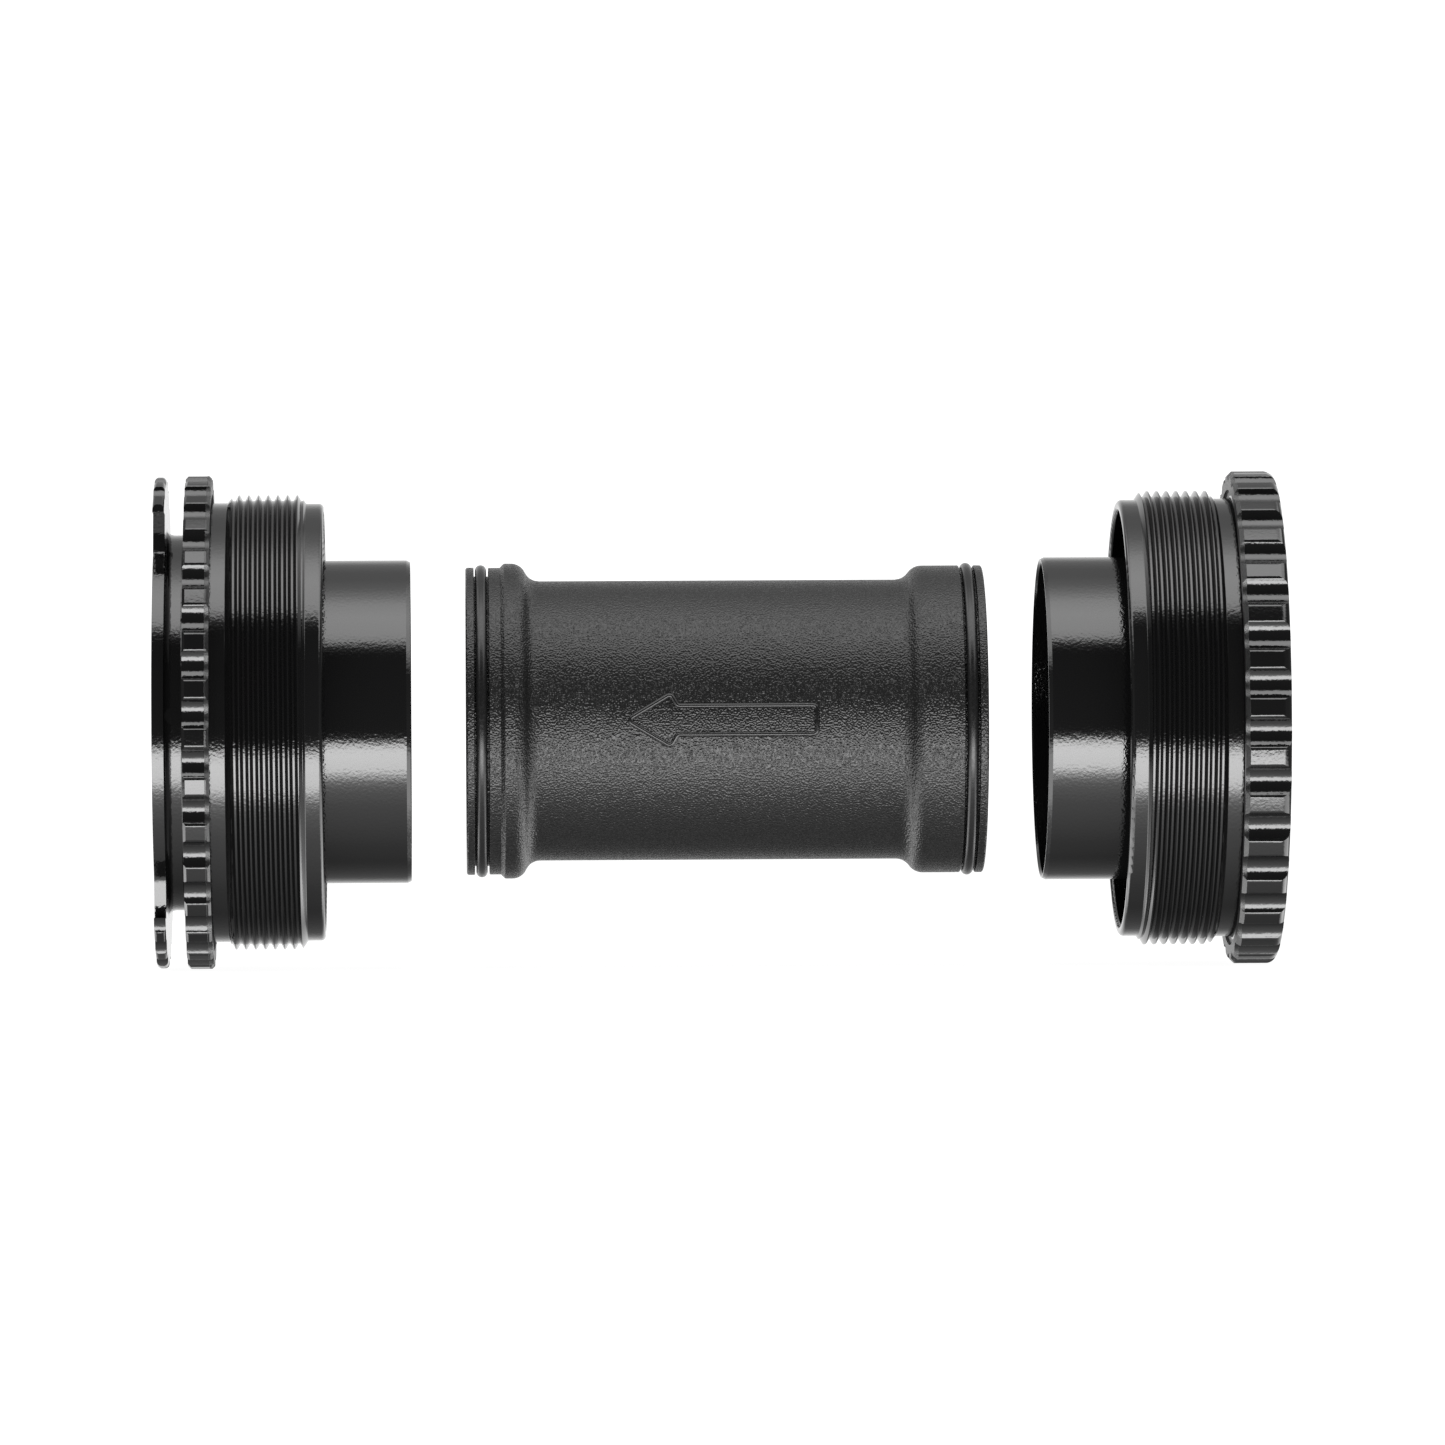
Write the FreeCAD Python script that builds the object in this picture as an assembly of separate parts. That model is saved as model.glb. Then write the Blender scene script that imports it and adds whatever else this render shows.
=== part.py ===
import FreeCAD, Part
import math
import os

# Threaded bottom bracket for a 24 mm crank spindle, laid out along X as it comes
# apart: left cup, centre sleeve, right cup. Units are millimetres, +Z is up, and
# the origin is the middle of the whole set. In each cup, u is the distance
# inboard from the face that seats on the frame shell.

# --- layout along the axis -------------------------------------------------------
outer_face_x = 57.85            # outboard face of each cup, either side of the origin
left_flange_stack = 5.9         # seat face to outboard face on the left cup
right_flange_stack = 4.7        # the same on the right cup
left_seat_x = -(outer_face_x - left_flange_stack)
right_seat_x = outer_face_x - right_flange_stack
sleeve_left_x = -25.85
sleeve_length = 53.4
sleeve_right_x = sleeve_left_x + sleeve_length

# --- frame thread, M47 x 1 -------------------------------------------------------
thread_r = 23.5
thread_pitch = 1.0
thread_depth = 0.58
thread_start_u = 1.6
thread_end_u = 9.7
thread_end_chamfer = 0.6
thread_run_out = 0.75           # the groove starts and ends this far past the threaded band
thread_groove_overcut = 0.06
thread_entry_angle = 25.0
relief_r = 22.7                 # undercut between the flange and the thread
lead_in_r = 22.6
skirt_end_u = 11.5
skirt_inner_r = 21.5
seat_undercut_r = 23.6          # shallow recess that keeps the thread clear of the seat face
seat_undercut_depth = 0.3
cup_edge_r = 0.15               # small edges of the turned cup
lead_in_corner_r = 0.5
skirt_corner_r = 0.35

# --- cup tube that receives the centre sleeve -------------------------------------
tube_outer_r = 16.7
tube_bore_r = 16.2
left_tube_end_u = 20.4
right_tube_end_u = 19.5
left_pocket_floor_u = 4.5
right_pocket_floor_u = 5.3
pocket_fillet = 0.6
tube_end_taper_length = 0.4
tube_end_taper = 0.2
tube_mouth_chamfer = 0.25
tube_mouth_flat_r = tube_bore_r + 0.15

# --- wrench flange -----------------------------------------------------------------
flange_r = 25.5
notch_count = 32
notch_r = 1.8
notch_depth = 0.95
land_corner_r = 0.4
left_notch_phase = 2.0          # degrees above the -Y direction, centre of one notch
right_notch_phase = -3.5
left_flange_width = 2.7
left_flange_chamfer = 0.28
right_outer_edge_r = 1.0
right_inner_chamfer = 0.45

# --- thin outer disc of the left cup -----------------------------------------------
disc_r = 25.4
disc_width = 1.2
disc_edge_r = 0.45
neck_r = 19.4
neck_disc_fillet = 0.8
neck_flange_fillet = 0.3
window_floor_r = 20.1
window_foot_angle = 55.0        # degrees either side of the window's middle, where walls meet floor
window_foot_r = 2.0
window_wall_lean = 15.5         # degrees that each wall turns away from the window's middle
window_half_height = 20.75      # the window's middle to the ledge at either end
window_phase = 3.5              # degrees above the -Y direction, middle of the window
plug_r = 0.93
plug_bore_r = 0.95
plug_top_r = 19.38
plug_bottom_r = 18.75

# --- bearing, 25 x 37 x 7 ----------------------------------------------------------
bearing_bore_r = 12.5
bearing_outer_r = 18.5
bearing_width = 7.0
bearing_corner_r = 0.3
bearing_mouth_chamfer = 0.3     # lead-in of the bearing's seat, at the cup's outboard face
left_bearing_u = -4.6           # outboard face of the bearing
right_bearing_u = -3.3
ball_r = 1.75
ball_count = 17
pitch_r = 15.5
race_r = 1.82                   # cross-section radius of the ball grooves
ball_clearance = 0.02
inner_land_r = 14.25
outer_land_r = 16.65
seal_seat_r = 17.1
seal_seat_depth = 0.85
seal_width = 0.5
seal_recess = 0.2
seal_lip_clearance = 0.05
seal_step = 0.15                # the seal's web is this much thinner than its rim and lip
seal_rim_width = 0.6
seal_lip_width = 0.6
cage_inner_r = 14.75
cage_outer_r = 16.25
cage_pocket_r = 1.8
cage_open_side = 1.0            # the cage ring runs from here ...
cage_closed_side = 2.6          # ... to here, either side of the ball centres
cage_corner_r = 0.2

# --- spindle bush and dust seal ----------------------------------------------------
spindle_bore_r = 12.02          # running fit on a 24 mm spindle
bush_collar_r = 14.0
bush_proud = 0.15               # the bush collar stands this far out of the cup
bush_tail = 0.5
bush_collar_corner_r = 0.3
bush_bore_chamfer = 0.25
dust_seal_width = 1.15
dust_seal_lip_clearance = 0.06
dust_seal_lip_chamfer = 0.25
dust_seal_groove = [16.9, 16.4, 15.2, 14.7]     # radii of the shallow groove in its face
dust_seal_groove_depth = 0.35
dust_seal_back_r = 17.2
dust_seal_corner_r = 0.2

# --- centre sleeve and O-rings -----------------------------------------------------
sleeve_rim_r = 15.9
sleeve_collar_r = 15.87
sleeve_bead_r = 16.3
sleeve_waist_r = 14.46
sleeve_bore_r = 13.2
sleeve_mouth_r = 13.9
sleeve_mouth_length = 5.0       # the wide mouth ends here and tapers ...
sleeve_taper_end = 8.0          # ... down to the bore here, from either end
sleeve_mouth_chamfer = 0.2
sleeve_rim_edge_r = 0.25
left_collar_end = 3.54          # from the sleeve's left end
left_bead_start = 3.97
left_bead_end = 4.7
left_waist_start = 7.6
right_waist_end = 9.0           # from the sleeve's right end
right_collar_start = 6.2
groove_r = 14.98
groove_start = 0.85
groove_edge_r = 0.1
left_groove_end = 2.35
right_groove_end = 2.4
o_ring_section_r = 0.575
o_ring_outer_r = 16.15
left_o_ring_at = 1.57           # from the sleeve's left end
right_o_ring_at = 1.63          # from the sleeve's right end
arrow_tip_x = -9.46
arrow_barb_x = -4.95
arrow_neck_x = -4.25
arrow_tail_x = 10.0
arrow_barb_z = 2.7
arrow_shaft_z = 1.48
arrow_line_width = 0.34
arrow_height = 0.2
arrow_corner_r = 0.4
arrow_root_depth = 0.3          # the arrow is rooted this far into the waist

X_AXIS = FreeCAD.Vector(1, 0, 0)
ORIGIN = FreeCAD.Vector(0, 0, 0)


def closed_wire(corners, to_space):
    """Closed wire through flat corners (a, b) or (a, b, rounding), placed by to_space(a, b)."""
    ends = []
    edges = []
    for i, corner in enumerate(corners):
        here = FreeCAD.Vector(corner[0], corner[1], 0)
        rounding = corner[2] if len(corner) > 2 else 0.0
        if not rounding:
            ends.append((here, here))
            continue
        before = (FreeCAD.Vector(*corners[i - 1][:2], 0) - here).normalize()
        after = (FreeCAD.Vector(*corners[(i + 1) % len(corners)][:2], 0) - here).normalize()
        half = before.getAngle(after) / 2
        reach = rounding / math.tan(half)
        inward = (before + after).normalize()
        middle = here + inward * (rounding / math.sin(half) - rounding)
        start = here + before * reach
        end = here + after * reach
        ends.append((start, end))
        arc = Part.Arc(*[to_space(p.x, p.y) for p in (start, middle, end)])
        edges.append(arc.toShape())
    for i, (start, end) in enumerate(ends):
        following = ends[(i + 1) % len(ends)][0]
        if end.distanceToPoint(following) > 1e-6:
            edges.append(Part.makeLine(to_space(end.x, end.y), to_space(following.x, following.y)))
    return Part.Wire(Part.__sortEdges__(edges))


def turned(corners, zero_x=0.0, inboard=1):
    """Solid of revolution about X. Corners are (u, radius[, rounding]) from zero_x, u growing inboard."""
    wire = closed_wire(corners, lambda u, r: FreeCAD.Vector(zero_x + inboard * u, r, 0))
    return Part.Face(wire).revolve(ORIGIN, X_AXIS, 360)


def along_x(wire, start_x, end_x):
    """Prism of a closed YZ wire between two places on the axis."""
    face = Part.Face(wire)
    face.translate(FreeCAD.Vector(start_x, 0, 0))
    return face.extrude(FreeCAD.Vector(end_x - start_x, 0, 0))


def polar(radius, degrees):
    """Point in the YZ plane, with the angle measured up from the -Y direction."""
    angle = math.radians(degrees)
    return FreeCAD.Vector(0, -radius * math.cos(angle), radius * math.sin(angle))


def arc(radius, start, end):
    """Arc about the axis between two angles, in the YZ plane."""
    points = [polar(radius, a) for a in (start, (start + end) / 2, end)]
    return Part.Arc(*points).toShape()


def notched_outline(tip_r, phase):
    """Outline of the wrench flange: round notches between lands, with rounded land corners."""
    centre_r = tip_r - notch_depth + notch_r
    corner_centre_r = tip_r - land_corner_r
    reach = notch_r + land_corner_r
    cosine = (centre_r ** 2 + corner_centre_r ** 2 - reach ** 2) / (2 * centre_r * corner_centre_r)
    corner_at = math.degrees(math.acos(cosine))
    pitch = 360.0 / notch_count
    edges = []
    for i in range(notch_count):
        middle = phase + i * pitch
        centre = polar(centre_r, middle)
        joins = []
        for side in (-1, 1):
            corner = polar(corner_centre_r, middle + side * corner_at)
            join = centre + (corner - centre) * (notch_r / reach)
            tip = polar(tip_r, middle + side * corner_at)
            bulge = ((join - corner).normalize() + (tip - corner).normalize()).normalize()
            edges.append(Part.Arc(join, corner + bulge * land_corner_r, tip).toShape())
            joins.append(join)
        edges.append(Part.Arc(joins[0], polar(tip_r - notch_depth, middle), joins[1]).toShape())
        edges.append(arc(tip_r, middle + corner_at, middle + pitch - corner_at))
    return Part.Wire(Part.__sortEdges__(edges))


def notch_cutter(tip_r, phase, start_x, end_x):
    """Ring that leaves only the notched outline when it is cut from a turned flange."""
    rim = Part.Wire(Part.makeCircle(tip_r + 2, ORIGIN, X_AXIS))
    return along_x(rim, start_x, end_x).cut(along_x(notched_outline(tip_r, phase), start_x, end_x))


def thread_groove(left_handed):
    """V groove of the frame thread round Z, from z = 0, long enough to run out at both ends."""
    slope = math.tan(math.radians(30))
    top_r = thread_r + thread_groove_overcut
    top_half = thread_pitch * 0.4375 + thread_groove_overcut * slope
    root_r = thread_r - thread_depth
    root_half = top_half - (top_r - root_r) * slope
    section = [(root_r, -root_half), (top_r, -top_half), (top_r, top_half), (root_r, root_half)]
    profile = Part.makePolygon([FreeCAD.Vector(r, 0, z) for r, z in section + section[:1]])
    length = thread_end_u - thread_start_u + 2 * thread_run_out
    helix = Part.makeLongHelix(thread_pitch, length, thread_r, 0, left_handed)
    return Part.Wire(helix.Edges).makePipeShell([Part.Wire(profile.Edges)], True, True)


def cut_thread(cup, seat_x, inboard, left_handed):
    """Cup with the frame thread cut into its turned band."""
    groove = thread_groove(left_handed)
    groove.rotate(ORIGIN, FreeCAD.Vector(0, 0, 1), thread_entry_angle)
    groove.rotate(ORIGIN, FreeCAD.Vector(0, 1, 0), 90)
    band_ends = [seat_x + inboard * u for u in (thread_start_u, thread_end_u)]
    groove.translate(FreeCAD.Vector(min(band_ends) - thread_run_out, 0, 0))
    return cup.cut(groove)


def cup_inside(tube_end_u, pocket_floor_u, bearing_u, outer_face_u):
    """Corners from the flange's seat face inboard, round the pocket and tube, and back out the bore."""
    bearing_end_u = bearing_u + bearing_width
    return [
        (0, seat_undercut_r),
        (-seat_undercut_depth, seat_undercut_r),
        (-seat_undercut_depth, relief_r, cup_edge_r),
        (thread_start_u, relief_r, cup_edge_r),
        (thread_start_u + thread_end_chamfer, thread_r),
        (thread_end_u - thread_end_chamfer, thread_r),
        (thread_end_u, lead_in_r, cup_edge_r),
        (skirt_end_u, lead_in_r, lead_in_corner_r),
        (skirt_end_u, skirt_inner_r, skirt_corner_r),
        (pocket_floor_u, skirt_inner_r, pocket_fillet),
        (pocket_floor_u, tube_outer_r, pocket_fillet),
        (tube_end_u - tube_end_taper_length, tube_outer_r),
        (tube_end_u, tube_outer_r - tube_end_taper),
        (tube_end_u, tube_mouth_flat_r),
        (tube_end_u - tube_mouth_chamfer, tube_bore_r),
        (bearing_end_u, tube_bore_r, cup_edge_r),
        (bearing_end_u, bearing_outer_r),
        (outer_face_u + bearing_mouth_chamfer, bearing_outer_r),
        (outer_face_u, bearing_outer_r + bearing_mouth_chamfer),
    ]


def window_cutter():
    """Window in the thin disc: a round floor, walls that lean back, and flat ledges at both ends."""
    wall_distance = window_floor_r * math.cos(math.radians(window_foot_angle - window_wall_lean))
    along = wall_distance + window_foot_r
    across = math.sqrt((window_floor_r + window_foot_r) ** 2 - along ** 2)
    floor_end = window_wall_lean + math.degrees(math.atan2(across, along))
    lean = math.radians(window_wall_lean)
    ledge_y = -(wall_distance - window_half_height * math.sin(lean)) / math.cos(lean)
    clear_y = -disc_r - 3
    edges = [arc(window_floor_r, -floor_end, floor_end)]
    for side in (-1, 1):
        facing = polar(1, side * window_wall_lean)
        centre = polar(window_floor_r + window_foot_r, side * floor_end)
        floor_touch = polar(window_floor_r, side * floor_end)
        wall_touch = centre - facing * window_foot_r
        bulge = ((floor_touch - centre).normalize() + (wall_touch - centre).normalize()).normalize()
        ledge = FreeCAD.Vector(0, ledge_y, side * window_half_height)
        rim = FreeCAD.Vector(0, clear_y, side * window_half_height)
        edges.append(Part.Arc(floor_touch, centre + bulge * window_foot_r, wall_touch).toShape())
        edges.append(Part.makeLine(wall_touch, ledge))
        edges.append(Part.makeLine(ledge, rim))
    edges.append(Part.makeLine(FreeCAD.Vector(0, clear_y, -window_half_height),
                               FreeCAD.Vector(0, clear_y, window_half_height)))
    wire = Part.Wire(Part.__sortEdges__(edges))
    cutter = along_x(wire, -outer_face_x - 1, -outer_face_x + disc_width + 0.5)
    cutter.rotate(ORIGIN, X_AXIS, -window_phase)
    return cutter


def radial_pin(radius, bottom_r, top_r, at_x, phase):
    """Pin that points out from the axis, its top following the cylinder of radius top_r."""
    direction = polar(1, phase)
    pin = Part.makeCylinder(radius, top_r - bottom_r + 1, direction * bottom_r, direction)
    pin.translate(FreeCAD.Vector(at_x, 0, 0))
    drum = Part.makeCylinder(top_r, 4 * radius, FreeCAD.Vector(at_x - 2 * radius, 0, 0), X_AXIS)
    return pin.common(drum)


def plug_x():
    """The plug sits in the middle of the neck between the disc and the flange."""
    neck_width = left_flange_stack - left_flange_width - disc_width
    return left_seat_x - left_flange_width - neck_width / 2


def make_left_cup():
    outer_u = -left_flange_stack
    disc_inner_u = outer_u + disc_width
    flange_u = -left_flange_width
    chamfer = left_flange_chamfer
    corners = [
        (outer_u, disc_r, disc_edge_r),
        (disc_inner_u, disc_r, disc_edge_r),
        (disc_inner_u, neck_r, neck_disc_fillet),
        (flange_u, neck_r, neck_flange_fillet),
        (flange_u, flange_r - chamfer),
        (flange_u + chamfer, flange_r),
        (-chamfer, flange_r),
        (0, flange_r - chamfer),
    ] + cup_inside(left_tube_end_u, left_pocket_floor_u, left_bearing_u, outer_u)
    cup = turned(corners, left_seat_x, 1)
    cup = cup.cut(notch_cutter(flange_r, left_notch_phase, -outer_face_x - 1, left_seat_x + 0.5))
    cup = cup.cut(window_cutter())
    cup = cup.cut(radial_pin(plug_bore_r, plug_bottom_r, flange_r, plug_x(), left_notch_phase))
    return cut_thread(cup, left_seat_x, 1, False)


def make_right_cup():
    outer_u = -right_flange_stack
    chamfer = right_inner_chamfer
    corners = [
        (outer_u, flange_r, right_outer_edge_r),
        (-chamfer, flange_r),
        (0, flange_r - chamfer),
    ] + cup_inside(right_tube_end_u, right_pocket_floor_u, right_bearing_u, outer_u)
    cup = turned(corners, right_seat_x, -1)
    cup = cup.cut(notch_cutter(flange_r, right_notch_phase, right_seat_x - 0.5, outer_face_x + 1))
    return cut_thread(cup, right_seat_x, -1, True)


def race_torus(groove_bottom_r, outward):
    """Torus that cuts a ball groove whose deepest point is at groove_bottom_r."""
    major = groove_bottom_r + outward * race_r
    return Part.makeTorus(major, race_r, ORIGIN, X_AXIS)


def ball_centres():
    return [polar(pitch_r, i * 360.0 / ball_count) for i in range(ball_count)]


def make_bearing(centre_x, inboard):
    """Deep-groove bearing: two rings, balls, crown cage and two seals, as separate solids."""
    half = bearing_width / 2
    seal_u = half - seal_recess - seal_width
    seat_u = half - seal_seat_depth
    inner = turned([
        (-half, bearing_bore_r, bearing_corner_r), (half, bearing_bore_r, bearing_corner_r),
        (half, inner_land_r, seal_step), (-half, inner_land_r, seal_step),
    ])
    outer = turned([
        (-half, bearing_outer_r, bearing_corner_r), (half, bearing_outer_r, bearing_corner_r),
        (half, seal_seat_r), (seat_u, seal_seat_r), (seat_u, outer_land_r),
        (-seat_u, outer_land_r), (-seat_u, seal_seat_r), (-half, seal_seat_r),
    ])
    inner = inner.cut(race_torus(pitch_r - ball_r - ball_clearance, 1))
    outer = outer.cut(race_torus(pitch_r + ball_r + ball_clearance, -1))
    balls = Part.makeCompound([Part.makeSphere(ball_r, c) for c in ball_centres()])
    cage = turned([
        (-cage_open_side, cage_inner_r, cage_corner_r), (cage_closed_side, cage_inner_r, cage_corner_r),
        (cage_closed_side, cage_outer_r, cage_corner_r), (-cage_open_side, cage_outer_r, cage_corner_r),
    ], 0, inboard)
    cage = cage.cut([Part.makeSphere(cage_pocket_r, c, c) for c in ball_centres()])
    lip_r = inner_land_r + seal_lip_clearance
    web_face = seal_width - seal_step
    seal_corners = [
        (0, seal_seat_r), (seal_width, seal_seat_r),
        (seal_width, outer_land_r - seal_rim_width / 2, seal_step),
        (web_face, outer_land_r - seal_rim_width, seal_step),
        (web_face, lip_r + seal_lip_width), (seal_width, lip_r + seal_lip_width / 2),
        (seal_width, lip_r), (0, lip_r),
    ]
    pieces = {
        "bearing_outer_ring": outer,
        "bearing_inner_ring": inner,
        "bearing_balls": balls,
        "bearing_cage": cage,
        "bearing_outboard_seal": turned(seal_corners, -inboard * seal_u, -inboard),
        "bearing_inboard_seal": turned(seal_corners, inboard * seal_u, inboard),
    }
    for piece in pieces.values():
        piece.translate(FreeCAD.Vector(centre_x, 0, 0))
    return pieces


def make_spindle_bush(seat_x, inboard, bearing_u, outer_u):
    """Flanged plastic bush between the bearing bore and the spindle."""
    collar_u = outer_u - bush_proud
    tail_u = bearing_u + bearing_width + bush_tail
    return turned([
        (collar_u, spindle_bore_r + bush_bore_chamfer), (collar_u, bush_collar_r, bush_collar_corner_r),
        (bearing_u, bush_collar_r), (bearing_u, bearing_bore_r), (tail_u, bearing_bore_r),
        (tail_u, spindle_bore_r), (collar_u + bush_bore_chamfer, spindle_bore_r),
    ], seat_x, inboard)


def make_dust_seal(seat_x, inboard, bearing_u):
    """Ring pressed into the cup's mouth, with a lip that wipes the bush collar."""
    face_u = bearing_u - dust_seal_width
    floor_u = face_u + dust_seal_groove_depth
    back_u = bearing_u - dust_seal_lip_chamfer
    lip_r = bush_collar_r + dust_seal_lip_clearance
    rounding = dust_seal_corner_r
    groove_rim, groove_foot, lip_foot, lip_rim = dust_seal_groove
    return turned([
        (face_u, bearing_outer_r, rounding), (face_u, groove_rim, rounding),
        (floor_u, groove_foot, rounding), (floor_u, lip_foot, rounding), (face_u, lip_rim, rounding),
        (face_u, lip_r + dust_seal_lip_chamfer), (face_u + dust_seal_lip_chamfer, lip_r),
        (back_u, lip_r), (back_u, groove_rim), (bearing_u, dust_seal_back_r), (bearing_u, bearing_outer_r),
    ], seat_x, inboard)


def s_curve(start, end):
    """Two rounded corners that lead from one (u, radius) to another with almost no straight between."""
    run = end[0] - start[0]
    drop = abs(end[1] - start[1])
    turn = 2 * math.atan(drop / run)
    rounding = 0.99 * run / (2 * math.sin(turn))
    reach = run / 2 / (1 + math.cos(turn))
    return [(start[0] + reach, start[1], rounding), (end[0] - reach, end[1], rounding)]


def arrow_band():
    """Raised outline of an arrow that points to -X, as a prism along Y in front of the sleeve."""
    corners = [
        (arrow_tip_x, 0, arrow_corner_r),
        (arrow_barb_x, arrow_barb_z, arrow_corner_r),
        (arrow_neck_x, arrow_shaft_z, arrow_corner_r),
        (arrow_tail_x, arrow_shaft_z, arrow_corner_r),
        (arrow_tail_x, -arrow_shaft_z, arrow_corner_r),
        (arrow_neck_x, -arrow_shaft_z, arrow_corner_r),
        (arrow_barb_x, -arrow_barb_z, arrow_corner_r),
    ]
    middle = closed_wire(corners, lambda x, z: FreeCAD.Vector(x, -sleeve_waist_r - 1, z))
    outside = middle.makeOffset2D(arrow_line_width / 2)
    inside = middle.makeOffset2D(-arrow_line_width / 2)
    depth = FreeCAD.Vector(0, 3, 0)
    return Part.Face(outside).extrude(depth).cut(Part.Face(inside).extrude(depth))


def make_centre_sleeve():
    end = sleeve_length
    corners = [
        (0, sleeve_mouth_r + sleeve_mouth_chamfer), (0, sleeve_rim_r, sleeve_rim_edge_r),
        (groove_start, sleeve_rim_r, groove_edge_r), (groove_start, groove_r),
        (left_groove_end, groove_r), (left_groove_end, sleeve_collar_r, groove_edge_r),
        (left_collar_end, sleeve_collar_r), (left_bead_start, sleeve_bead_r, sleeve_rim_edge_r),
    ]
    corners += s_curve((left_bead_end, sleeve_bead_r), (left_waist_start, sleeve_waist_r))
    corners += s_curve((end - right_waist_end, sleeve_waist_r), (end - right_collar_start, sleeve_rim_r))
    corners += [
        (end - right_groove_end, sleeve_rim_r, groove_edge_r), (end - right_groove_end, groove_r),
        (end - groove_start, groove_r), (end - groove_start, sleeve_rim_r, groove_edge_r),
        (end, sleeve_rim_r, sleeve_rim_edge_r), (end, sleeve_mouth_r + sleeve_mouth_chamfer),
        (end - sleeve_mouth_chamfer, sleeve_mouth_r), (end - sleeve_mouth_length, sleeve_mouth_r),
        (end - sleeve_taper_end, sleeve_bore_r), (sleeve_taper_end, sleeve_bore_r),
        (sleeve_mouth_length, sleeve_mouth_r), (sleeve_mouth_chamfer, sleeve_mouth_r),
    ]
    sleeve = turned(corners, sleeve_left_x, 1)
    skin_r = [sleeve_waist_r - arrow_root_depth, sleeve_waist_r + arrow_height]
    skin_x = [arrow_tip_x - 1, arrow_tail_x + 1]
    arrow_skin = turned([(skin_x[0], skin_r[0]), (skin_x[1], skin_r[0]), (skin_x[1], skin_r[1]),
                         (skin_x[0], skin_r[1])])
    return sleeve.fuse(arrow_band().common(arrow_skin)).removeSplitter()


def make_o_ring(centre_x):
    return Part.makeTorus(o_ring_outer_r - o_ring_section_r, o_ring_section_r,
                          FreeCAD.Vector(centre_x, 0, 0), X_AXIS)


def make_side(name, seat_x, inboard, bearing_u, outer_u):
    """Everything inside one cup, named for its side."""
    pieces = make_bearing(seat_x + inboard * (bearing_u + bearing_width / 2), inboard)
    pieces["spindle_bush"] = make_spindle_bush(seat_x, inboard, bearing_u, outer_u)
    pieces["dust_seal"] = make_dust_seal(seat_x, inboard, bearing_u)
    return {f"{name}_{piece}": shape for piece, shape in pieces.items()}


def make_all():
    parts = {
        "left_cup": make_left_cup(),
        "right_cup": make_right_cup(),
        "left_neck_plug": radial_pin(plug_r, plug_bottom_r, plug_top_r, plug_x(), left_notch_phase),
        "centre_sleeve": make_centre_sleeve(),
        "left_sleeve_o_ring": make_o_ring(sleeve_left_x + left_o_ring_at),
        "right_sleeve_o_ring": make_o_ring(sleeve_right_x - right_o_ring_at),
    }
    parts.update(make_side("left", left_seat_x, 1, left_bearing_u, -left_flange_stack))
    parts.update(make_side("right", right_seat_x, -1, right_bearing_u, -right_flange_stack))
    return parts


os.makedirs("parts", exist_ok=True)
for node, shape in make_all().items():
    shape.exportStep(f"parts/{node}.step")
    solids = shape.Solids
    print(node, len(solids), "solid(s)", shape.isValid(), round(sum(s.Volume for s in solids), 2), "mm3")
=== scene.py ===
import math

import bmesh
import bpy
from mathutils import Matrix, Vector


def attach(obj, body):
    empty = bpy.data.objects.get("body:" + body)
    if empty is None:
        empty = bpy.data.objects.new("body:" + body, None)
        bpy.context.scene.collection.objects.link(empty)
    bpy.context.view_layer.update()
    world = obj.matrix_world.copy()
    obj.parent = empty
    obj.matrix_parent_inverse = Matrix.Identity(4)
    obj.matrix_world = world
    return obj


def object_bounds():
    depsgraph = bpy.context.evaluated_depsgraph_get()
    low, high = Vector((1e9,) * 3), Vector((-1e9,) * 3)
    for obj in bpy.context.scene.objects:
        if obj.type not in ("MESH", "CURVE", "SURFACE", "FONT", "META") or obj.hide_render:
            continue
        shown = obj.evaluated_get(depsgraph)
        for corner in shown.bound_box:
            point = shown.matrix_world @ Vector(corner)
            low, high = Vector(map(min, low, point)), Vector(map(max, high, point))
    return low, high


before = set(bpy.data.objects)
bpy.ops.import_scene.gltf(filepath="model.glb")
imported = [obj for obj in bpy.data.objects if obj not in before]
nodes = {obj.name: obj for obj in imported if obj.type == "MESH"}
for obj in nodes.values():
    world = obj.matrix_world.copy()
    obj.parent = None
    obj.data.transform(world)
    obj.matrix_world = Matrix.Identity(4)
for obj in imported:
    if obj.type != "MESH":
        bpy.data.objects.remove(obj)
cad_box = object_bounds()
MM = 0.001

# Camera and stage, in metres. The set lies along X: left cup, centre sleeve, right cup. The camera
# looks along +Y.
CAMERA_DISTANCE = 1.1
CAMERA_X = -0.028
CAMERA_ROLL = 0.3               # degrees clockwise
AIM_X = 0.0007
AIM_Z = -0.00026
FIELD_WIDTH = 0.1496            # width of the view at the axis
SENSOR_WIDTH = 36.0

DOME_RADIUS = 4.0
FLOOR_SIZE = 3.6
FLOOR_GLOW = 0.98
DOME_GLOW = 1.2


# --- node graphs -------------------------------------------------------------------

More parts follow.
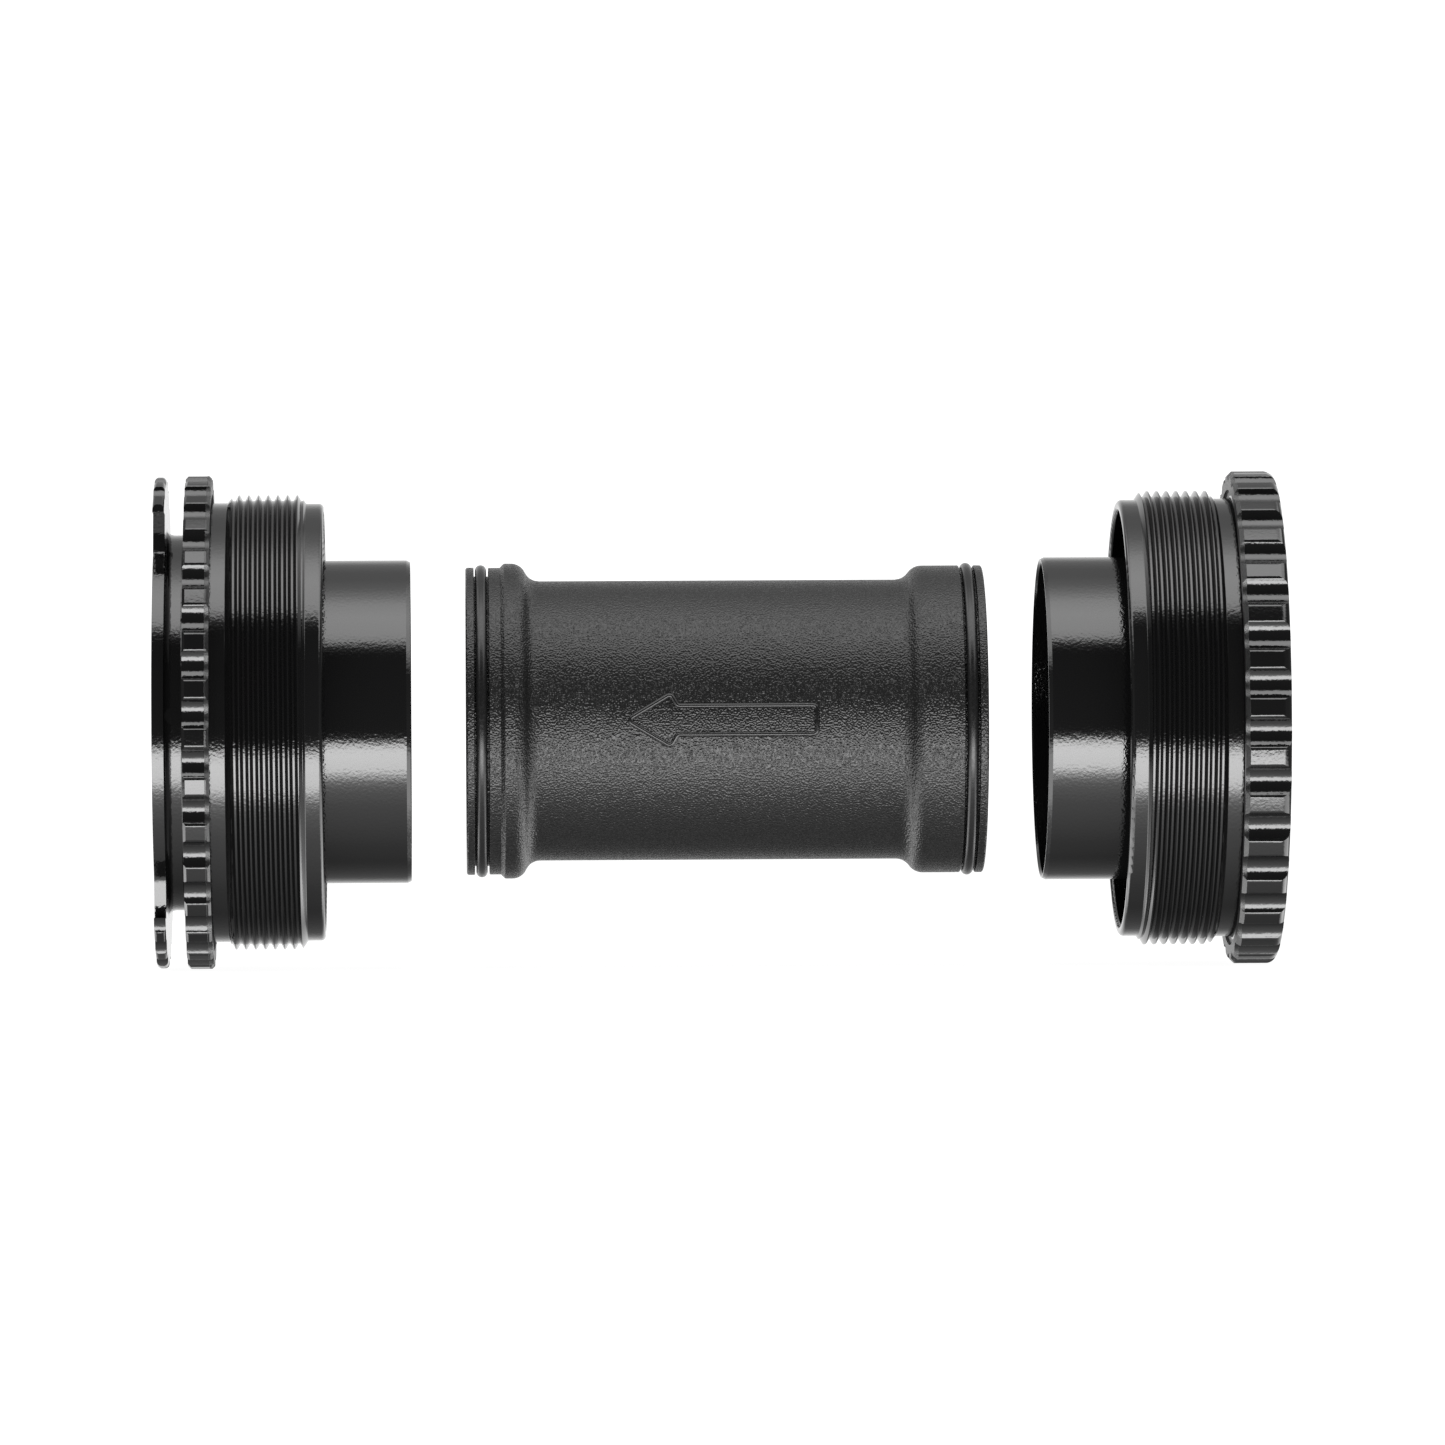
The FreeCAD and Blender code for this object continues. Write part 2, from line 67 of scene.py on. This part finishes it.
class Graph:
    """A node tree with short calls for the nodes that the materials share."""

    def __init__(self, tree, output_type):
        self.tree = tree
        self.tree.nodes.clear()
        self.output = self.tree.nodes.new(output_type)

    def add(self, kind, inputs=None, **settings):
        """A node of that kind. Inputs are numbers, colours or another node's output."""
        node = self.tree.nodes.new("ShaderNode" + kind)
        for name, value in settings.items():
            setattr(node, name, value)
        for name, value in (inputs or {}).items():
            self.set(node.inputs[name], value)
        return node

    def set(self, socket, value):
        if isinstance(value, bpy.types.NodeSocket):
            self.tree.links.new(value, socket)
        else:
            socket.default_value = value

    def math(self, operation, *values, clamp=False):
        node = self.add("Math", operation=operation, use_clamp=clamp)
        for i, value in enumerate(values):
            self.set(node.inputs[i], value)
        return node.outputs[0]

    def smooth(self, value, start, end, low=0.0, high=1.0):
        """Value carried smoothly from low at start to high at end."""
        node = self.add("MapRange", interpolation_type="SMOOTHSTEP")
        for name, number in (("Value", value), ("From Min", start), ("From Max", end),
                             ("To Min", low), ("To Max", high)):
            self.set(node.inputs[name], number)
        return node.outputs["Result"]

    def ramp(self, value, stops):
        """Grey ramp through (place, level) stops."""
        node = self.add("ValToRGB", {"Fac": value})
        elements = node.color_ramp.elements
        while len(elements) < len(stops):
            elements.new(1.0)
        for element, (place, level) in zip(elements, stops):
            element.position = place
            element.color = (level, level, level, 1.0)
        return node.outputs["Color"]

    def noise(self, vector, scale, detail=2.0):
        return self.add("TexNoise", {"Vector": vector, "Scale": scale, "Detail": detail}).outputs["Fac"]

    def bump(self, height, distance_mm, normal=None):
        node = self.add("Bump", {"Height": height, "Distance": distance_mm * MM, "Strength": 1.0})
        if normal is not None:
            self.set(node.inputs["Normal"], normal)
        return node.outputs["Normal"]


def material(name, paint):
    """Material whose nodes are made by paint(graph, principled)."""
    made = bpy.data.materials.new(name)
    made.use_nodes = True
    graph = Graph(made.node_tree, "ShaderNodeOutputMaterial")
    principled = graph.add("BsdfPrincipled")
    graph.set(graph.output.inputs["Surface"], principled.outputs[0])
    paint(graph, principled)
    return made


def place_mm(graph):
    """The surface point in millimetres, its X, and its distance from the axis."""
    point = graph.add("TexCoord").outputs["Object"]
    scaled = graph.add("VectorMath", {0: point, "Scale": 1 / MM}, operation="SCALE").outputs[0]
    parts = graph.add("SeparateXYZ", {0: scaled})
    y2 = graph.math("MULTIPLY", parts.outputs["Y"], parts.outputs["Y"])
    z2 = graph.math("MULTIPLY", parts.outputs["Z"], parts.outputs["Z"])
    radius = graph.math("SQRT", graph.math("ADD", y2, z2))
    return scaled, parts.outputs["X"], radius


def grey(value):
    """Grey with a trace of blue."""
    return (value, value, value * 1.02, 1.0)


# --- materials ---------------------------------------------------------------------

# Where the cups' seat faces are, in millimetres, and how much rougher they are than the rest.
LEFT_SEAT_X = -51.95
RIGHT_SEAT_X = 53.15
SEAT_BAND = 0.45                # either side of the face
SEAT_INNER_R = 23.0
SEAT_ROUGHNESS = 0.25


def paint_anodised(graph, principled):
    """Bright black anodised aluminium: turning rings, a slight ripple, and pits from the blasting."""
    point, x, radius = place_mm(graph)
    along = graph.math("ADD", x, radius)
    rings = graph.noise(graph.add("CombineXYZ", {"X": along}).outputs[0], scale=7.0, detail=3.0)
    # The ripple is on the round surfaces only: the end faces are turned flat.
    facing = graph.add("SeparateXYZ", {0: graph.add("TexCoord").outputs["Normal"]}).outputs["X"]
    round_part = graph.smooth(graph.math("ABSOLUTE", facing), 0.5, 0.95, low=1.0, high=0.0)
    ripple = graph.math("MULTIPLY", graph.noise(point, scale=3.4, detail=1.5), round_part)
    pits = graph.noise(point, scale=11.0)
    # The seat face of each flange is left as it was blasted.
    left_face = graph.math("COMPARE", x, LEFT_SEAT_X, SEAT_BAND)
    right_face = graph.math("COMPARE", x, RIGHT_SEAT_X, SEAT_BAND)
    outside = graph.math("GREATER_THAN", radius, SEAT_INNER_R)
    seat = graph.math("MULTIPLY", graph.math("ADD", left_face, right_face), outside)
    principled.inputs["Base Color"].default_value = grey(0.004)
    principled.inputs["IOR"].default_value = 1.6
    fine = graph.smooth(rings, 0.35, 0.65, low=0.05, high=0.09)
    rough = graph.math("MULTIPLY_ADD", seat, SEAT_ROUGHNESS, fine, clamp=True)
    graph.set(principled.inputs["Roughness"], rough)
    normal = graph.bump(rings, distance_mm=0.0012)
    normal = graph.bump(ripple, distance_mm=0.014, normal=normal)
    normal = graph.bump(graph.math("MULTIPLY", pits, seat), distance_mm=0.03, normal=normal)
    graph.set(principled.inputs["Normal"], normal)


def paint_sleeve(graph, principled):
    """Moulded black plastic with a fine spark-eroded grain."""
    point, _, _ = place_mm(graph)
    grain = graph.noise(point, scale=5.4, detail=0.0)
    graph.set(principled.inputs["Base Color"], graph.ramp(grain, [(0.3, 0.001), (0.7, 0.009)]))
    graph.set(principled.inputs["Roughness"], graph.smooth(grain, 0.3, 0.7, low=0.38, high=0.24))
    principled.inputs["IOR"].default_value = 1.43
    graph.set(principled.inputs["Normal"], graph.bump(grain, distance_mm=0.085))


def paint_ridge(graph, principled):
    """The same plastic where the mould was polished, on the raised arrow."""
    point, _, _ = place_mm(graph)
    principled.inputs["Base Color"].default_value = grey(0.004)
    principled.inputs["IOR"].default_value = 1.5
    rough = graph.smooth(graph.noise(point, scale=5.4), 0.3, 0.7, low=0.2, high=0.27)
    graph.set(principled.inputs["Roughness"], rough)


def paint_rubber(graph, principled):
    """Satin black rubber, and the black plastic of the spindle bushes."""
    point, _, _ = place_mm(graph)
    principled.inputs["Base Color"].default_value = grey(0.006)
    principled.inputs["IOR"].default_value = 1.42
    rough = graph.smooth(graph.noise(point, scale=4.0), 0.3, 0.7, low=0.2, high=0.32)
    graph.set(principled.inputs["Roughness"], rough)


def paint_steel(graph, principled):
    """Ground bearing steel with fine turning rings."""
    _, x, radius = place_mm(graph)
    along = graph.math("ADD", x, radius)
    rings = graph.noise(graph.add("CombineXYZ", {"X": along}).outputs[0], scale=9.0, detail=3.0)
    principled.inputs["Base Color"].default_value = (0.56, 0.57, 0.58, 1)
    principled.inputs["Metallic"].default_value = 1.0
    graph.set(principled.inputs["Roughness"], graph.smooth(rings, 0.3, 0.7, low=0.18, high=0.3))
    graph.set(principled.inputs["Normal"], graph.bump(rings, distance_mm=0.0008))


def paint_nylon(graph, principled):
    """Natural nylon of the bearing cages."""
    point, _, _ = place_mm(graph)
    principled.inputs["Base Color"].default_value = (0.62, 0.58, 0.48, 1)
    rough = graph.smooth(graph.noise(point, scale=3.0), 0.3, 0.7, low=0.4, high=0.5)
    graph.set(principled.inputs["Roughness"], rough)


PAINTS = {
    "black_anodised_aluminium": paint_anodised,
    "sleeve_plastic": paint_sleeve,
    "o_ring_rubber": paint_rubber,
    "bearing_steel": paint_steel,
    "ball_steel": paint_steel,
    "cage_nylon": paint_nylon,
    "seal_rubber": paint_rubber,
    "bush_plastic": paint_rubber,
    "dust_seal_rubber": paint_rubber,
    "plug_black": paint_anodised,
}
MATERIALS = {slot: material("look_" + slot, paint) for slot, paint in PAINTS.items()}


def slot_of(node):
    """The record's slot of a CAD node, which is the name of the material it was packed with."""
    return nodes[node].data.materials[0].name.split(".")[0]


for name in nodes:
    slot = slot_of(name)
    nodes[name].material_slots[0].link = "OBJECT"
    nodes[name].material_slots[0].material = MATERIALS[slot]


# --- moulded arrow on the sleeve ---------------------------------------------------

# Corners of the arrow's outline in X and Z, in millimetres. The middle of the ridge follows it.
WAIST_R = 14.46
ARROW_TIP_X = -9.46
ARROW_BARB_X = -4.95
ARROW_NECK_X = -4.25
ARROW_TAIL_X = 10.0
ARROW_BARB_Z = 2.7
ARROW_SHAFT_Z = 1.48
ARROW_UPPER = [(ARROW_BARB_X, ARROW_BARB_Z), (ARROW_NECK_X, ARROW_SHAFT_Z), (ARROW_TAIL_X, ARROW_SHAFT_Z)]
ARROW = [(ARROW_TIP_X, 0), *ARROW_UPPER, *((x, -z) for x, z in reversed(ARROW_UPPER))]
ARROW_CORNER_R = 0.4
CORNER_PIECES = 6
ARROW_STEP = 0.5                # furthest apart that sections of the ridge stand
RIDGE_HALF_WIDTH = 0.27
RIDGE_HEIGHT = 0.26
RIDGE_ROOT = 0.03               # the ridge starts this far below the waist's surface
RIDGE_PIECES = 12               # flats round its section


def rounded_outline(corners, rounding, step):
    """Points along a closed outline with rounded corners, none further apart than step."""
    points = []
    for i, corner in enumerate(corners):
        here = Vector(corner)
        before = (Vector(corners[i - 1]) - here).normalized()
        after = (Vector(corners[(i + 1) % len(corners)]) - here).normalized()
        half = before.angle(after) / 2
        centre = here + (before + after).normalized() * (rounding / math.sin(half))
        start = (here + before * (rounding / math.tan(half)) - centre).normalized()
        end = (here + after * (rounding / math.tan(half)) - centre).normalized()
        points += [centre + start.slerp(end, k / CORNER_PIECES).normalized() * rounding
                   for k in range(CORNER_PIECES + 1)]
    outline = []
    for i, point in enumerate(points):
        following = points[(i + 1) % len(points)]
        pieces = max(1, math.ceil((following - point).length / step))
        outline += [point.lerp(following, k / pieces) for k in range(pieces)]
    return outline


def make_arrow_ridge():
    """Soft-edged ridge that follows the arrow's outline over the round waist."""
    outline = rounded_outline(ARROW, ARROW_CORNER_R, ARROW_STEP)
    count = len(outline)
    turns = [math.pi * k / RIDGE_PIECES for k in range(RIDGE_PIECES + 1)]
    section = [(-RIDGE_HALF_WIDTH * math.cos(a), RIDGE_HEIGHT * math.sin(a) - RIDGE_ROOT * abs(math.cos(a)))
               for a in turns]
    vertices = []
    for i, point in enumerate(outline):
        run = (outline[(i + 1) % count] - outline[i - 1]).normalized()
        sideways = Vector((-run.y, run.x))
        for offset, height in section:
            x, z = point + sideways * offset
            y = -math.sqrt((WAIST_R + height) ** 2 - z ** 2)
            vertices.append((x * MM, y * MM, z * MM))
    across = len(section)
    faces = []
    for i in range(count):
        here = i * across
        after = (i + 1) % count * across
        faces += [(here + k, here + k + 1, after + k + 1, after + k) for k in range(across - 1)]
    mesh = bpy.data.meshes.new("arrow_ridge")
    mesh.from_pydata(vertices, [], faces)
    mesh.shade_smooth()
    mesh.materials.append(material("look_arrow_ridge", paint_ridge))
    ridge = bpy.data.objects.new("arrow_ridge", mesh)
    bpy.context.scene.collection.objects.link(ridge)
    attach(ridge, "centre_sleeve")


make_arrow_ridge()


# --- studio ------------------------------------------------------------------------

# Brightness of the studio seen from the set, by the direction's angle in the YZ plane: 0 is
# towards the camera, 90 straight up, -90 straight down and 180 straight back.
STUDIO_PROFILE = [
    (-180, 1.0), (-168, 0.9), (-150, 0.25), (-132, 0.19), (-119, 0.155), (-100, 0.3), (-83, 0.55),
    (-62, 0.88), (-50, 1.33), (-43.5, 2.2), (-38.5, 6.0), (-35, 9.6), (-22, 10.6), (-17.5, 9.0),
    (-13, 0.4), (-9, 0.05), (50, 0.03), (55, 0.3), (60, 3.4), (66, 3.8), (80, 3.8), (92, 3.05),
    (101, 1.8), (110, 1.0), (121, 0.62), (134, 0.44), (151, 0.41), (167, 0.8), (180, 1.0),
]
# The same for directions to either side, along X, by the angle that they rise.
SIDE_PROFILE = [
    (-90, 0.5), (-55, 1.0), (-45, 3.5), (-20, 3.5), (-12, 0.15), (28, 0.08), (40, 2.6), (70, 2.8),
    (90, 2.2),
]
PEAK = 10.6                     # the brightest level above


def make_world():
    """Soft studio: a light band low in front, a broad softbox above, and darkness between them."""
    world = bpy.data.worlds.new("studio")
    bpy.context.scene.world = world
    world.use_nodes = True
    graph = Graph(world.node_tree, "ShaderNodeOutputWorld")
    direction = graph.add("SeparateXYZ", {0: graph.add("TexCoord").outputs["Generated"]})
    dx, dy, dz = [direction.outputs[axis] for axis in "XYZ"]
    turn = graph.math("ARCTAN2", dz, graph.math("MULTIPLY", dy, -1.0))
    turn = graph.math("MULTIPLY_ADD", turn, 0.5 / math.pi, 0.5)
    front = graph.ramp(turn, [(0.5 + angle / 360, level / PEAK) for angle, level in STUDIO_PROFILE])
    rise = graph.math("MULTIPLY_ADD", graph.math("ARCSINE", dz), 1 / math.pi, 0.5)
    side = graph.ramp(rise, [(0.5 + angle / 180, level / PEAK) for angle, level in SIDE_PROFILE])
    share = graph.smooth(graph.math("ABSOLUTE", dx), 0.35, 0.7)
    # A colour Mix keeps its factor in socket 0, its two colours in 6 and 7, and its result in 2.
    mixed = graph.add("Mix", {0: share, 6: front, 7: side}, data_type="RGBA")
    background = graph.add("Background", {"Color": mixed.outputs[2], "Strength": PEAK})
    graph.set(graph.output.inputs["Surface"], background.outputs[0])


def plain_white(name, diffuse, glow):
    """Matte white that also glows, so that it stays white in the shade."""
    made = bpy.data.materials.new(name)
    made.use_nodes = True
    graph = Graph(made.node_tree, "ShaderNodeOutputMaterial")
    principled = graph.add("BsdfPrincipled", {
        "Base Color": (diffuse,) * 3 + (1.0,), "Roughness": 1.0, "Specular IOR Level": 0.0,
        "Emission Color": (1, 1, 1, 1), "Emission Strength": glow})
    graph.set(graph.output.inputs["Surface"], principled.outputs[0])
    return made


def camera_only(obj):
    """Stage object that the camera sees and the set's reflections and shadows don't."""
    for ray in ("diffuse", "glossy", "transmission", "volume_scatter", "shadow"):
        setattr(obj, "visible_" + ray, False)
    bpy.context.scene.collection.objects.link(obj)


def make_stage():
    """White dome behind the set and a white floor at its lowest point."""
    mesh = bpy.data.meshes.new("backdrop")
    dome = bmesh.new()
    bmesh.ops.create_uvsphere(dome, u_segments=32, v_segments=16, radius=DOME_RADIUS)
    dome.to_mesh(mesh)
    dome.free()
    mesh.materials.append(plain_white("backdrop_white", diffuse=0.0, glow=DOME_GLOW))
    camera_only(bpy.data.objects.new("backdrop", mesh))

    half = FLOOR_SIZE / 2
    floor_z = cad_box[0].z
    mesh = bpy.data.meshes.new("floor")
    corners = [(x, y, floor_z) for x, y in ((-half, -half), (half, -half), (half, half), (-half, half))]
    mesh.from_pydata(corners, [], [(0, 1, 2, 3)])
    mesh.materials.append(plain_white("floor_white", diffuse=0.1, glow=FLOOR_GLOW))
    camera_only(bpy.data.objects.new("floor", mesh))


def make_camera():
    """Camera in front of the set, a little to the left of its middle and turned towards it."""
    data = bpy.data.cameras.new("camera")
    data.sensor_width = SENSOR_WIDTH
    data.lens = SENSOR_WIDTH * CAMERA_DISTANCE / FIELD_WIDTH
    camera = bpy.data.objects.new("camera", data)
    camera.location = (CAMERA_X, -CAMERA_DISTANCE, AIM_Z)
    yaw = math.atan((CAMERA_X - AIM_X) / CAMERA_DISTANCE)
    camera.rotation_euler = (math.pi / 2, math.radians(CAMERA_ROLL), yaw)
    bpy.context.scene.collection.objects.link(camera)
    bpy.context.scene.camera = camera


make_camera()
make_world()
make_stage()
bpy.context.scene.view_settings.view_transform = "Standard"
